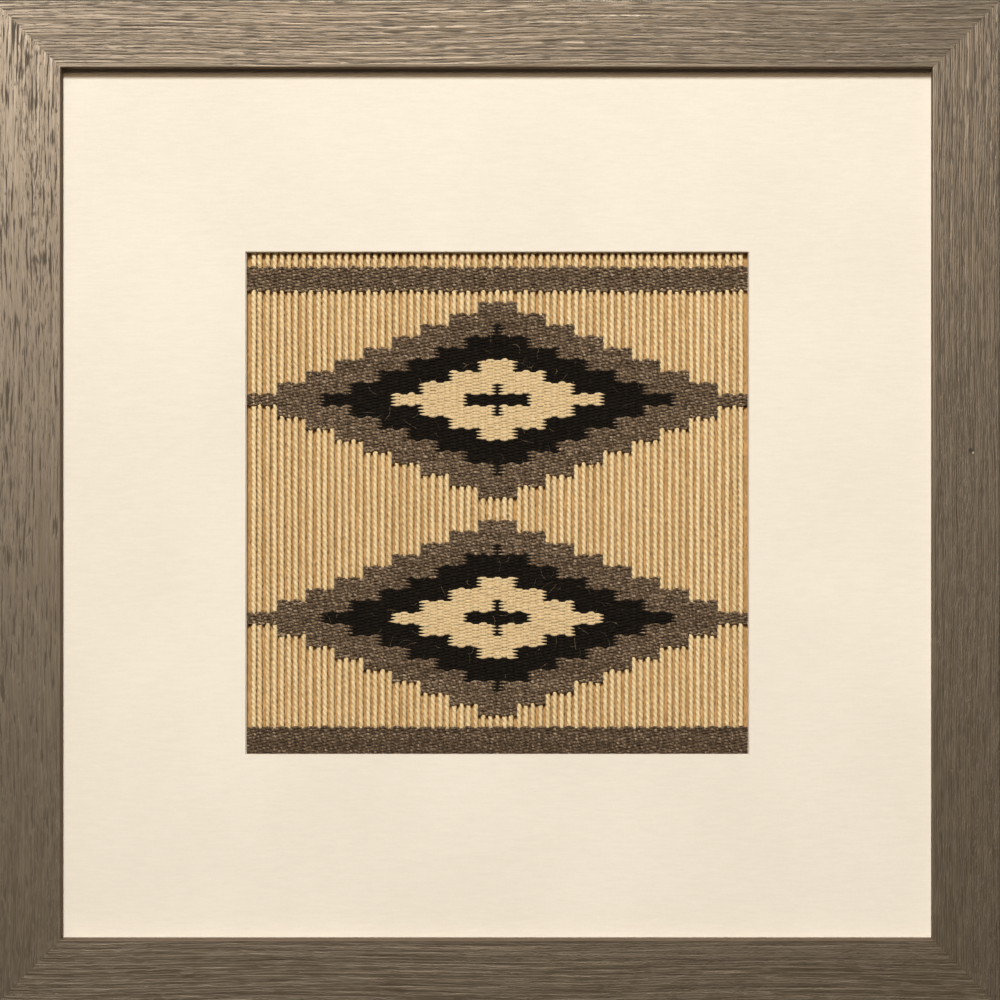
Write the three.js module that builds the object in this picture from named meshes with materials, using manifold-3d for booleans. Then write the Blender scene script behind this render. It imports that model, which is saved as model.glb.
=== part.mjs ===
// A small tapestry weaving behind a window mat, in a mitred wood picture frame.
//
// Millimetres, X across the picture, Z up. The picture faces -Y and the wall is the plane y = 0.
// The origin is the middle of the top rail's back face, where the frame hangs on its wall hook.

import * as THREE from 'three';
import { mergeVertices } from 'three/addons/utils/BufferGeometryUtils.js';
import Module from 'manifold-3d';

// Frame: four rails with a rebate behind a narrow lip
const FRAME_OUTER = 400;
const RAIL_FACE = 27;
const RAIL_DEPTH = 22;
const LIP_WIDTH = 6;
const LIP_THICKNESS = 6;
const OUTER_ROUND = 0.8;
const SIGHT_ROUND = 0.3;
const ROUND_STEPS = 4;

// Clearance between pieces that meet, play of the picture stack in the rebate, and merging of points
const CLEARANCE = 0.3;
const STACK_PLAY = 0.5;
const MERGE_DISTANCE = 1e-4;

// Window mat: card with a bevelled square window
const MAT_THICKNESS = 1.4;
const WINDOW = 200;
const WINDOW_BEVEL = 0.5;

// Board that carries the weaving
const BOARD_THICKNESS = 3;

// Weaving: 69 warp cords, bare in places and covered by packed weft in others
const WARPS = 69;
const WARP_PITCH = 2.87;
const WARP_CORD = 1.8;
const WEAVING_TUCK = 7;
const CLOTH_THICKNESS = 2.8;
const WEB_THICKNESS = 1;
const RIB_FLAT = 0.8;
const RIB_CHAMFER = 0.6;
const RIB_ROOT = 0.5;

// Woven areas: a plain band at each end and two stepped lozenges between them
const TOP_BARE = 5.5;
const TOP_BAND = 9.5;
const BOTTOM_BAND = 10.6;
const STEP_WARPS = 4;
const STEP_RISE = 4.6;
const LOZENGES = 2;

// Derived sizes
const SIGHT = FRAME_OUTER - 2 * RAIL_FACE;
const RAIL_BACK = RAIL_FACE - LIP_WIDTH;
const REBATE_DEPTH = RAIL_DEPTH - LIP_THICKNESS;
const STACK_SIDE = SIGHT + 2 * (LIP_WIDTH - STACK_PLAY);
const FRAME_CENTRE_Z = (RAIL_BACK - FRAME_OUTER) / 2;
const MAT_BACK = REBATE_DEPTH - CLEARANCE - MAT_THICKNESS;
const CLOTH_BACK = MAT_BACK - CLEARANCE - CLOTH_THICKNESS;
const BOARD_BACK = CLOTH_BACK - CLEARANCE - BOARD_THICKNESS;
const WEAVING_WIDTH = (WARPS - 1) * WARP_PITCH + WARP_CORD;
const WEAVING_HEIGHT = WINDOW + 2 * WEAVING_TUCK;

const wasm = await Module();
wasm.setup();

const FINISH = {
  frame: { color: 0x82735f, roughness: 0.6, metalness: 0 },
  mat: { color: 0xf2e6d0, roughness: 0.9, metalness: 0 },
  board: { color: 0xb88c58, roughness: 0.9, metalness: 0 },
  yarn: { color: 0xb99a6c, roughness: 0.95, metalness: 0 },
};

function piece(name, geometry, finish) {
  const mesh = new THREE.Mesh(geometry, new THREE.MeshStandardMaterial(FINISH[finish]));
  mesh.name = name;
  return mesh;
}

// Turns a shape drawn in the picture's plane (x across, y up) to face -Y, its back at this depth
function hang(mesh, back) {
  mesh.rotation.x = Math.PI / 2;
  mesh.position.y = -back;
  return mesh;
}

// Calls change(vertex) on each vertex of a geometry and stores the result
function reshape(geometry, change) {
  const position = geometry.attributes.position;
  const vertex = new THREE.Vector3();
  for (let i = 0; i < position.count; i += 1) {
    change(vertex.fromBufferAttribute(position, i));
    position.setXYZ(i, vertex.x, vertex.y, vertex.z);
  }
  geometry.computeVertexNormals();
  return geometry;
}

function rectangle(width, low, high) {
  return new THREE.Shape([
    new THREE.Vector2(-width / 2, low),
    new THREE.Vector2(width / 2, low),
    new THREE.Vector2(width / 2, high),
    new THREE.Vector2(-width / 2, high),
  ]);
}

function square(side) {
  return rectangle(side, -side / 2, side / 2);
}

// Rail section: x from the outer edge to the sight edge, y from the wall to the front
function railSection() {
  const shape = new THREE.Shape();
  shape.moveTo(0, 0);
  shape.lineTo(RAIL_BACK, 0);
  shape.lineTo(RAIL_BACK, REBATE_DEPTH);
  shape.lineTo(RAIL_FACE, REBATE_DEPTH);
  shape.lineTo(RAIL_FACE, RAIL_DEPTH - SIGHT_ROUND);
  shape.absarc(RAIL_FACE - SIGHT_ROUND, RAIL_DEPTH - SIGHT_ROUND, SIGHT_ROUND, 0, Math.PI / 2);
  shape.lineTo(OUTER_ROUND, RAIL_DEPTH);
  shape.absarc(OUTER_ROUND, RAIL_DEPTH - OUTER_ROUND, OUTER_ROUND, Math.PI / 2, Math.PI);
  shape.lineTo(0, 0);
  return shape;
}

// One rail, drawn as the top one and turned about the picture's centre by quarter turns.
// Each end is cut at 45 degrees, half a clearance short of the mitre.
function rail(name, quarterTurns) {
  const setback = CLEARANCE / Math.SQRT2;
  const geometry = new THREE.ExtrudeGeometry(railSection(), {
    depth: FRAME_OUTER,
    bevelEnabled: false,
    curveSegments: ROUND_STEPS,
  });
  reshape(geometry, (vertex) => {
    const cut = vertex.x + setback;
    vertex.z = vertex.z < FRAME_OUTER / 2 ? cut : FRAME_OUTER - cut;
  });
  geometry.translate(-FRAME_OUTER / 2, 0, -FRAME_OUTER / 2);
  geometry.applyMatrix4(new THREE.Matrix4().makeBasis(
    new THREE.Vector3(0, 0, -1),
    new THREE.Vector3(0, -1, 0),
    new THREE.Vector3(-1, 0, 0),
  ));
  const mesh = piece(name, geometry, 'frame');
  mesh.rotation.y = quarterTurns * Math.PI / 2;
  return mesh;
}

// Card whose window is cut on a slant, wider at the front than at the back
function windowMat() {
  const shape = square(STACK_SIDE);
  shape.holes.push(square(WINDOW));
  const geometry = new THREE.ExtrudeGeometry(shape, { depth: MAT_THICKNESS, bevelEnabled: false });
  const frontWindow = (WINDOW + 2 * WINDOW_BEVEL) / WINDOW;
  reshape(geometry, (vertex) => {
    const onWindow = Math.abs(vertex.x) < WINDOW / 2 + WINDOW_BEVEL;
    if (onWindow && vertex.z > MAT_THICKNESS / 2) {
      vertex.x *= frontWindow;
      vertex.y *= frontWindow;
    }
  });
  return hang(piece('window_mat', geometry, 'mat'), MAT_BACK);
}

function mountBoard() {
  const geometry = new THREE.BoxGeometry(STACK_SIDE, STACK_SIDE, BOARD_THICKNESS);
  geometry.translate(0, 0, BOARD_THICKNESS / 2);
  return hang(piece('mount_board', geometry, 'board'), BOARD_BACK);
}

function toSolid(geometry) {
  const bare = geometry.clone();
  bare.deleteAttribute('normal');
  bare.deleteAttribute('uv');
  const merged = mergeVertices(bare, MERGE_DISTANCE);
  return new wasm.Manifold(new wasm.Mesh({
    numProp: 3,
    vertProperties: new Float32Array(merged.attributes.position.array),
    triVerts: new Uint32Array(merged.index.array),
  }));
}

function toGeometry(solid) {
  const mesh = solid.getMesh();
  const geometry = new THREE.BufferGeometry();
  geometry.setAttribute('position', new THREE.BufferAttribute(mesh.vertProperties, 3));
  geometry.setIndex(new THREE.BufferAttribute(mesh.triVerts, 1));
  geometry.computeVertexNormals();
  return geometry;
}

// A slab of a picture-plane shape between two heights above the weaving's back
function slab(shape, from, to) {
  const geometry = new THREE.ExtrudeGeometry(shape, { depth: to - from, bevelEnabled: false });
  geometry.translate(0, 0, from);
  return toSolid(geometry);
}

// A lozenge as wide as the weaving whose sides climb in steps of whole warps
function steppedLozenge(centre) {
  const levels = Math.ceil(WARPS / 2 / STEP_WARPS);
  const right = [];
  for (let level = -(levels - 1); level < levels; level += 1) {
    const inset = Math.abs(level) * STEP_WARPS * WARP_PITCH;
    const reach = WEAVING_WIDTH / 2 - inset;
    right.push(new THREE.Vector2(reach, centre + (level - 0.5) * STEP_RISE));
    right.push(new THREE.Vector2(reach, centre + (level + 0.5) * STEP_RISE));
  }
  const left = right.map((p) => new THREE.Vector2(-p.x, p.y)).reverse();
  return new THREE.Shape([...right, ...left]);
}

// A bare warp cord: a chamfered rib on the cloth's web, running the weaving's whole height
function warpRib(index) {
  const crest = (CLOTH_THICKNESS + WARP_CORD) / 2;
  const half = WARP_CORD / 2;
  const section = new THREE.Shape([
    new THREE.Vector2(-half, -RIB_ROOT),
    new THREE.Vector2(-half, RIB_CHAMFER - crest),
    new THREE.Vector2(-RIB_FLAT / 2, -crest),
    new THREE.Vector2(RIB_FLAT / 2, -crest),
    new THREE.Vector2(half, RIB_CHAMFER - crest),
    new THREE.Vector2(half, -RIB_ROOT),
  ]);
  const geometry = new THREE.ExtrudeGeometry(section, { depth: WEAVING_HEIGHT, bevelEnabled: false });
  geometry.rotateX(-Math.PI / 2);
  geometry.translate((index - (WARPS - 1) / 2) * WARP_PITCH, -WEAVING_HEIGHT / 2, 0);
  return toSolid(geometry);
}

// The cloth: a thin web with the bare warps as ribs, and thicker where weft covers the warps
function weaving() {
  const half = WEAVING_HEIGHT / 2;
  const windowHalf = WINDOW / 2;
  const bandTop = windowHalf - TOP_BARE;
  const fieldTop = bandTop - TOP_BAND;
  const fieldBottom = BOTTOM_BAND - windowHalf;
  const bay = (fieldTop - fieldBottom) / LOZENGES;
  const woven = [
    rectangle(WEAVING_WIDTH, fieldTop, bandTop),
    rectangle(WEAVING_WIDTH, -half, fieldBottom),
  ];
  for (let i = 0; i < LOZENGES; i += 1) {
    woven.push(steppedLozenge(fieldBottom + (i + 0.5) * bay));
  }
  let cloth = slab(rectangle(WEAVING_WIDTH, -half, half), 0, WEB_THICKNESS);
  for (let i = 0; i < WARPS; i += 1) {
    cloth = cloth.add(warpRib(i));
  }
  for (const shape of woven) {
    cloth = cloth.add(slab(shape, RIB_ROOT, CLOTH_THICKNESS));
  }
  return hang(piece('weaving', toGeometry(cloth), 'yarn'), CLOTH_BACK);
}

const framedWeaving = new THREE.Group();
framedWeaving.position.z = FRAME_CENTRE_Z;
['rail_top', 'rail_right', 'rail_bottom', 'rail_left'].forEach((name, turns) => {
  framedWeaving.add(rail(name, turns));
});
framedWeaving.add(windowMat(), mountBoard(), weaving());

export default framedWeaving;
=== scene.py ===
# %% [markdown]
# # A framed tapestry weaving
#
# This lesson dresses a small wall picture: a hand-woven tapestry with bare warp cords, behind a
# cream window mat, in a grey wood-grain frame. The solid model gives the places and the main sizes.
# Here the rails get their pressed grain, the card its tooth, and the weaving is made of its yarns.

# %% Load the frame
import math

import bpy
import numpy as np
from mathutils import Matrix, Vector


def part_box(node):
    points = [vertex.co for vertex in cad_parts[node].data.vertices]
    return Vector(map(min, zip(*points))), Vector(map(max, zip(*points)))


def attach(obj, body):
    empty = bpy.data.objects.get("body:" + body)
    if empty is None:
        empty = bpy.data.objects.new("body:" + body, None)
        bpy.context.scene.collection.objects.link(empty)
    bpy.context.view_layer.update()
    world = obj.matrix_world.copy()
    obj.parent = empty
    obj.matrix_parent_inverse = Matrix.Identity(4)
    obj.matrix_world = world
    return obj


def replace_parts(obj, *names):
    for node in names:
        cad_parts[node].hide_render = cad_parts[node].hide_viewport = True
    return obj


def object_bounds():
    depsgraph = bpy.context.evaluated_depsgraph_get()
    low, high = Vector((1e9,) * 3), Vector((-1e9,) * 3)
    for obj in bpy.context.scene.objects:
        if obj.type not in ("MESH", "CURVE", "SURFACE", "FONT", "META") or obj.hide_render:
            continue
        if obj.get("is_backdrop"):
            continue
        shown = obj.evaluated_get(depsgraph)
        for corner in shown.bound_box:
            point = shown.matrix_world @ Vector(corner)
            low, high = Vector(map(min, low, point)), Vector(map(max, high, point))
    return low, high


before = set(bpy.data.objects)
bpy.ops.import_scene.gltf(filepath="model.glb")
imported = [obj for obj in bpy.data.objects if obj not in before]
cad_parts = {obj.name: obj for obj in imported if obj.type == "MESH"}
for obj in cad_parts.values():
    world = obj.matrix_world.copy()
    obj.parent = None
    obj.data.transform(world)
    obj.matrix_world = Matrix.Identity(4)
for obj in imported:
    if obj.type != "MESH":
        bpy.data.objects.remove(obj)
cad_box = [list(corner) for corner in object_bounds()]
print("nodes:", sorted(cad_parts))

# %% [markdown]
# ## Sizes
#
# The main sizes come from the boxes of the solid nodes, in metres. The picture stands upright and
# faces -Y, so "front" is the smaller y. A weaver counts in warps and picks: a warp is one upright
# cord, and a pick is one pass of the weft yarn across them.

# %% Sizes from the frame
MM = 0.001
cad_low, cad_high = np.array(cad_box[0]), np.array(cad_box[1])
OUTER = cad_high[0] - cad_low[0]
FRONT, WALL = cad_low[1], cad_high[1]
CENTRE_Z = (cad_low[2] + cad_high[2]) / 2


def node_box(node):
    """The lowest and highest corner of a solid node as arrays."""
    low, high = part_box(node)
    return np.array(low), np.array(high)


rail_low, rail_high = node_box("rail_top")
mat_low, _ = node_box("window_mat")
cloth_low, cloth_high = node_box("weaving")
RAIL_FACE = rail_high[2] - rail_low[2]
RAIL_DEPTH = WALL - FRONT
print(f"outer {OUTER / MM:.0f} mm, rail {RAIL_FACE / MM:.0f} mm, cloth {(cloth_high - cloth_low) / MM}")

# %% [markdown]
# ## From arrays to a mesh
#
# Every new piece is a set of points and faces worked out as whole arrays. One helper turns them
# into a mesh, gives each point its values for the materials to read, and fastens the piece to the
# frame. It also prints the volume inside the faces, which is positive when they point outwards.

# %% Mesh helper
def placed(name, data):
    """A new object with this mesh, camera or lamp, linked to the scene."""
    thing = bpy.data.objects.new(name, data)
    bpy.context.collection.objects.link(thing)
    return thing


def enclosed(points, faces):
    """Volume inside closed faces: the sum over fan triangles of a . (b x c) / 6."""
    total = 0.0
    for group in faces:
        first = points[group[:, 0]]
        for k in range(1, group.shape[1] - 1):
            cross = np.cross(points[group[:, k]], points[group[:, k + 1]])
            total += np.einsum("ij,ij->", first, cross) / 6
    return total


def cap_edges(mesh, faces):
    """True at each edge of a mesh that borders an end cap, a face of more than four corners."""
    edges = np.empty(len(mesh.edges) * 2, np.int32)
    mesh.edges.foreach_get("vertices", edges)
    caps = [group for group in faces if group.shape[1] > 4]
    sides = [np.stack([cap, np.roll(cap, -1, axis=1)], axis=-1).reshape(-1, 2) for cap in caps]
    pairs = np.concatenate([np.empty((0, 2), int), *sides])
    key = np.array([len(mesh.vertices), 1], np.int64)
    return np.isin(np.sort(edges.reshape(-1, 2)) @ key, np.sort(pairs) @ key)


def add_piece(name, points, faces, finish, values, smooth=True, crease=None):
    """Makes a mesh object from points (n, 3), face groups (m, k) and named values at the points.

    End caps stay flat. Their edges are marked sharp, or every edge that turns by more than the crease
    angle, so that the shading doesn't run round a corner."""
    sizes = np.concatenate([np.full(len(group), group.shape[1]) for group in faces])
    corners = np.concatenate([group.ravel() for group in faces])
    mesh = bpy.data.meshes.new(name)
    mesh.vertices.add(len(points))
    mesh.vertices.foreach_set("co", points.astype(np.float32).ravel())
    mesh.loops.add(len(corners))
    mesh.loops.foreach_set("vertex_index", corners.astype(np.int32))
    mesh.polygons.add(len(sizes))
    mesh.polygons.foreach_set("loop_start", (np.cumsum(sizes) - sizes).astype(np.int32))
    mesh.polygons.foreach_set("use_smooth", smooth & (sizes <= 4))
    mesh.update(calc_edges=True)
    if crease is None:
        mesh.edges.foreach_set("use_edge_sharp", cap_edges(mesh, faces))
    else:
        mesh.set_sharp_from_angle(angle=crease)
    for key, data in values.items():
        kind, field = ("FLOAT", "value") if data.ndim == 1 else ("FLOAT_VECTOR", "vector")
        layer = mesh.attributes.new(key, kind, "POINT")
        layer.data.foreach_set(field, data.astype(np.float32).ravel())
    mesh.materials.append(finish)
    piece = placed(name, mesh)
    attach(piece, "root")
    triangles = int((sizes - 2).sum())
    print(f"{name}: {triangles} triangles, {enclosed(points, faces) * 1e6:.3f} cm3")
    return piece

# %% [markdown]
# ## Shader maths as expressions
#
# A material is a graph of nodes. To keep it readable, one small class wraps a socket so that
# `1 - mask * 0.4` adds the Math nodes itself. Its operators are all alike, so a table lists them. A
# second class makes any other node from its type, its settings and its sockets.

# %% Material helper
class Signal:
    """A node's output socket, with Python's operators standing for Math nodes."""

    def __init__(self, finish, socket):
        self.finish = finish
        self.socket = socket

    def math(self, operation, first, second):
        return self.finish.add("ShaderNodeMath", {"operation": operation}, {0: first, 1: second})

    def __rsub__(self, other):
        return self.math("SUBTRACT", other, self)

    def passing(self, limit, slope, most=1):
        """0 up to a limit, then rising by this slope as far as the most."""
        return ((self - limit) * slope).at_least(0).at_most(most)


def math_method(operation):
    """A method that puts a signal and another value through one Math node."""
    return lambda self, other=0: self.math(operation, self, other)


MATH_METHODS = {
    "__add__": "ADD", "__radd__": "ADD", "__sub__": "SUBTRACT", "__mul__": "MULTIPLY",
    "__rmul__": "MULTIPLY", "__pow__": "POWER", "at_least": "MAXIMUM", "at_most": "MINIMUM",
    "below": "LESS_THAN", "sine": "SINE", "size": "ABSOLUTE",
}
for method, operation in MATH_METHODS.items():
    setattr(Signal, method, math_method(operation))


class Finish:
    """One material under construction."""

    def __init__(self, name):
        self.material = bpy.data.materials.new(name)
        self.material.use_nodes = True
        self.tree = self.material.node_tree
        self.tree.nodes.clear()

    def add(self, kind, settings=None, inputs=None, output=0):
        """A node of this kind: its settings first, then values or links for its sockets."""
        node = self.tree.nodes.new(kind)
        for key, value in (settings or {}).items():
            setattr(node, key, value)
        for key, value in (inputs or {}).items():
            if isinstance(value, Signal):
                self.tree.links.new(value.socket, node.inputs[key])
            else:
                node.inputs[key].default_value = value
        return None if output is None else Signal(self, node.outputs[output])

    def attribute(self, name, output):
        return self.add("ShaderNodeAttribute", {"attribute_name": name}, output=output)

    def part(self, vector, axis):
        return self.add("ShaderNodeSeparateXYZ", None, {0: vector}, output=axis)

    def noise(self, vector, scale, detail=2, roughness=0.5):
        """Noise with so many waves a metre, one number for all axes or three for x, y and z."""
        if isinstance(scale, tuple):
            vector = self.add("ShaderNodeVectorMath", {"operation": "MULTIPLY"}, {0: vector, 1: scale})
            scale = 1
        sockets = {"Vector": vector, "Scale": scale, "Detail": detail, "Roughness": roughness}
        return self.add("ShaderNodeTexNoise", None, sockets)

    def mix(self, factor, first, second):
        settings = {"data_type": "RGBA", "clamp_factor": True}
        colours = {6: first, 7: second}
        colours = {k: v if isinstance(v, Signal) else (*v, 1.0) for k, v in colours.items()}
        return self.add("ShaderNodeMix", settings, {0: factor, **colours}, output=2)

    def ramp(self, factor, stops):
        """A colour read off a scale of (place, colour) stops."""
        colour = self.add("ShaderNodeValToRGB", None, {0: factor})
        elements = colour.socket.node.color_ramp.elements
        while len(elements) < len(stops):
            elements.new(1.0)
        for element, (place, shade) in zip(elements, stops):
            element.position = place
            element.color = (*shade, 1.0)
        return colour

    def bump(self, height, distance, strength=1.0):
        sockets = {"Height": height, "Distance": distance, "Strength": strength}
        return self.add("ShaderNodeBump", None, sockets)

    def done(self, **sockets):
        """Ends the graph in a Principled shader with these sockets."""
        named = {key.replace("_", " "): value for key, value in sockets.items()}
        shader = self.add("ShaderNodeBsdfPrincipled", None, named)
        self.add("ShaderNodeOutputMaterial", None, {"Surface": shader}, output=None)
        return self.material

# %% [markdown]
# ## Frame rails
#
# The moulding is wrapped in a taupe-grey foil with a pressed, open wood grain that runs along each
# rail and stops at the mitres. A bump map alone would look flat from the side, so the larger grooves
# are in the mesh. Each rail is one section carried along its length, with both ends cut at 45
# degrees, and every point is pushed in or out by a field of long thin streaks.

# %% Rail section
LIP_WIDTH = 6 * MM
CLEARANCE = 0.3 * MM
OUTER_ROUND = 0.8 * MM
SIGHT_ROUND = 0.3 * MM
SMOOTH_STRIP = 1.0 * MM
# Spacing of the section's points, fine on the face where the grain shows
SIDE_STEP = 1.2 * MM
FACE_STEP = 0.34 * MM
LIP_STEP = 1.5 * MM
LEDGE_STEP = 3 * MM
REBATE_STEP = 6 * MM
BACK_STEP = 5 * MM


def straight(start, end, step):
    """Evenly spaced points from start up to, but not with, end."""
    start, end = np.array(start), np.array(end)
    count = max(1, round(float(np.linalg.norm(end - start)) / step))
    return start + (end - start) * (np.arange(count) / count)[:, None]


def quarter(centre, radius, start, count):
    """Points on a quarter circle, clockwise from the start angle in degrees."""
    angle = np.radians(start - 90 * np.arange(count) / count)
    return np.array(centre) + radius * np.stack([np.cos(angle), np.sin(angle)], axis=-1)


def rail_section():
    """The closed outline: u from the outer to the sight edge, v from the wall to the front."""
    back = RAIL_FACE - LIP_WIDTH
    rebate = WALL - mat_low[1] + CLEARANCE
    shoulder, brow = RAIL_DEPTH - OUTER_ROUND, RAIL_DEPTH - SIGHT_ROUND
    return np.concatenate([
        straight((0, 0), (0, shoulder), SIDE_STEP),
        quarter((OUTER_ROUND, shoulder), OUTER_ROUND, 180, 4),
        straight((OUTER_ROUND, RAIL_DEPTH), (RAIL_FACE - SIGHT_ROUND, RAIL_DEPTH), FACE_STEP),
        quarter((RAIL_FACE - SIGHT_ROUND, brow), SIGHT_ROUND, 90, 3),
        straight((RAIL_FACE, brow), (RAIL_FACE, rebate), LIP_STEP),
        straight((RAIL_FACE, rebate), (back, rebate), LEDGE_STEP),
        straight((back, rebate), (back, 0), REBATE_STEP),
        straight((back, 0), (0, 0), BACK_STEP),
    ])


section = rail_section()
tangent = np.roll(section, -1, axis=0) - np.roll(section, 1, axis=0)
tangent /= np.linalg.norm(tangent, axis=1, keepdims=True)
section_normal = np.stack([-tangent[:, 1], tangent[:, 0]], axis=-1)
girth = np.concatenate([[0], np.cumsum(np.linalg.norm(np.diff(section, axis=0), axis=1))])
fold_girth = girth[np.argmax(section[:, 0] > RAIL_FACE - SIGHT_ROUND / 2)]
seen = girth < fold_girth
smooth_strip = np.clip((RAIL_FACE - SIGHT_ROUND - section[:, 0]) / SMOOTH_STRIP, 0, 1)
relief_weight = np.where(seen, smooth_strip, 0)
print(f"rail section: {len(section)} points, {girth[-1] / MM:.0f} mm round")

# %% Streaks of pressed grain
GRAIN_CELL = np.array([0.4, 0.2]) * MM
GRAIN_SHAPE = (1024, 512)
RIDGE_SIZE = np.array([14, 0.40]) * MM
RIDGE_HEIGHT = 0.75
PORE_SIZE = np.array([7, 0.26]) * MM
PORE_LIMIT = 0.9
PORE_MOST = 1.6
PORE_DEPTH = 0.7


def streaks(random, size):
    """White noise blurred by a long thin Gaussian of this size, to unit spread.

    Each frequency f is scaled by exp(-2 (pi f s)^2), where s is the blur in cells along that axis."""
    long, thin = size / GRAIN_CELL
    spectrum = np.fft.rfft2(random.standard_normal(GRAIN_SHAPE))
    f_long = np.fft.fftfreq(GRAIN_SHAPE[0])[:, None]
    f_thin = np.fft.rfftfreq(GRAIN_SHAPE[1])[None, :]
    spectrum *= np.exp(-2 * np.pi**2 * ((f_long * long) ** 2 + (f_thin * thin) ** 2))
    field = np.fft.irfft2(spectrum, GRAIN_SHAPE)
    return field / field.std()


def read_field(field, along, across):
    """Bilinear reading of a repeating field at places in metres."""
    row, column = along / GRAIN_CELL[0], across / GRAIN_CELL[1]
    r0, c0 = np.floor(row).astype(int), np.floor(column).astype(int)
    fr, fc = row - r0, column - c0
    rows, columns = field.shape
    r0, r1 = r0 % rows, (r0 + 1) % rows
    c0, c1 = c0 % columns, (c0 + 1) % columns
    low = field[r0, c0] * (1 - fc) + field[r0, c1] * fc
    high = field[r1, c0] * (1 - fc) + field[r1, c1] * fc
    return low * (1 - fr) + high * fr


def pressed_grain(random):
    """Grain height from -1.9 to 0.75: soft long ridges, less short pores where a second field of
    streaks passes a limit."""
    ridges = np.tanh(0.8 * streaks(random, RIDGE_SIZE))
    pores = np.clip(streaks(random, PORE_SIZE) - PORE_LIMIT, 0, PORE_MOST)
    return ridges * RIDGE_HEIGHT - pores * PORE_DEPTH

# %% [markdown]
# The foil's colour hardly changes. What shows the grain is its gloss: the ridges are satin and catch
# the lamp, while the pressed lines and pores are dull. So near the lamp's reflection the grain stands
# out, and elsewhere it almost disappears. The lines are the crests of a wave across the rail, bent by
# a slow noise so that they run together and part again. The pores lie where a noise stretched along
# the rail rises over a threshold, and in some strips there are shorter specks, made in the same way.

# %% Pressed pattern
def pressed_pattern(finish, place, spacing, line, pore_length, pore_width, pore):
    """From 0 on the ridges to 1 in the pressed lines, pores and specks.

    Lines peak with sin(2 pi (v / spacing + 1.6 noise)), and pores and specks lie where a noise passes a
    limit that a slower noise raises and lowers."""
    swirl = finish.noise(place, (32, 170, 0))
    broken = finish.noise(place, (110, 0.8 / spacing, 0))
    pit = finish.noise(place, (1 / pore_length, 1 / pore_width, 0))
    speck = finish.noise(place, (3.5 / pore_length, 1.3 / pore_width, 0))
    zone = finish.noise(place, (22, 130, 0))
    strip = finish.noise(place, (4, 75, 0), detail=1)
    wave = (finish.part(place, 1) * (2 * math.pi / spacing) + swirl * (3.2 * math.pi)).sine()
    lines = (wave * 0.5 + 0.5) ** 5 * broken.passing(0.34, 4)
    pits = (pit + zone * 0.35).passing(0.71, 10)
    specks = (speck + strip * 0.50).passing(0.83, 9, most=0.7)
    return (lines * line + pits.at_least(specks) * pore).at_most(1)

# %% [markdown]
# Where the foil is folded round the sight edge it is dull, and its colour is painted browner on the
# inner walls and the back, as the shade that lies on the lips' inner walls. The bottom rail, whose wall
# faces the lamp, gets less of it, and there the painted shade also reaches a little over the round
# edge to dim its highlight. The right rail has one small nick from use: a dent painted dark as its
# shade, with a pale chip beside it that is partly a painted highlight on its lit side. A mask of the
# distance from one point of the rail is enough for such a mark, and the bump presses it in.

# %% Foil finish
RIDGE_COLOURS = [
    (0.36, (0.043, 0.032, 0.019)),
    (0.50, (0.067, 0.052, 0.032)),
    (0.64, (0.106, 0.086, 0.057)),
]
PRESSED_COLOUR = (0.019, 0.013, 0.007)
# Painted shade: the browner colour of the lips' inner walls and back, and of the bottom rail's sight
# edge
FOLD_SHADE_COLOUR = (0.098, 0.050, 0.022)
# Painted shade in the dent, and a pale chip beside it that is partly a painted highlight on its lit side
DENT_SHADE_COLOUR = (0.014, 0.010, 0.006)
CHIP_AND_HIGHLIGHT_COLOUR = (0.40, 0.35, 0.27)
FOIL_TINT = (1.0, 0.85, 0.70, 1.0)
# Places on a rail: metres along it, plus one for each quarter turn, and metres round its section
DENT = (1.1791, 0.0337, 0)
CHIP_AND_HIGHLIGHT = (1.1798, 0.0330, 0)
DENT_RADIUS = 1.3 * MM
CHIP_AND_HIGHLIGHT_RADIUS = 0.5 * MM


def spot(finish, place, middle, radius):
    """1 at one point of a rail's face, falling evenly to 0 at a radius from it."""
    ends = {0: place, 1: middle}
    reach = finish.add("ShaderNodeVectorMath", {"operation": "DISTANCE"}, ends, output=1)
    return (1 - reach * (1 / radius)).at_least(0)


def foil_finish(name, gloss, dull, depth, **pattern):
    """Satin ridges, dull pressed parts, the fold's painted shade, and the nick's painted shade and
    highlight.
    """
    finish = Finish(name)
    grain = finish.attribute("grain", 2)
    place = finish.attribute("rail_place", 1)
    fold_shade_amount = finish.attribute("painted_fold_shade", 2)
    patch = finish.noise(place, (60, 260, 0))
    fine = finish.noise(place, (170, 2800, 0), detail=3)
    pressed = pressed_pattern(finish, place, **pattern) * finish.attribute("open_grain", 2)
    dent = spot(finish, place, DENT, DENT_RADIUS)
    chip_and_highlight = spot(finish, place, CHIP_AND_HIGHLIGHT, CHIP_AND_HIGHLIGHT_RADIUS)
    colour = finish.ramp(fine * 0.6 + patch * 0.4 + grain * 0.04, RIDGE_COLOURS)
    colour = finish.mix(pressed * 0.85, colour, PRESSED_COLOUR)
    # Painted shade on the fold; the roughness below it is the foil's real dull fold
    colour = finish.mix(fold_shade_amount * 0.85, colour, FOLD_SHADE_COLOUR)
    # The dent is painted dark as its shade, and the pale chip beside it is partly a painted highlight
    colour = finish.mix(dent * 2, colour, DENT_SHADE_COLOUR)
    colour = finish.mix(chip_and_highlight * 2, colour, CHIP_AND_HIGHLIGHT_COLOUR)
    roughness = (0.42 + pressed * dull - fine * 0.12 + fold_shade_amount * 0.48 + dent).at_most(0.95)
    relief = finish.bump(fine * 0.4 + grain * 0.2 - pressed - dent * 2, 0.10 * MM, depth)
    return finish.done(
        Base_Color=colour, Roughness=roughness, Specular_IOR_Level=gloss,
        Specular_Tint=FOIL_TINT, Normal=relief)

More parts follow.
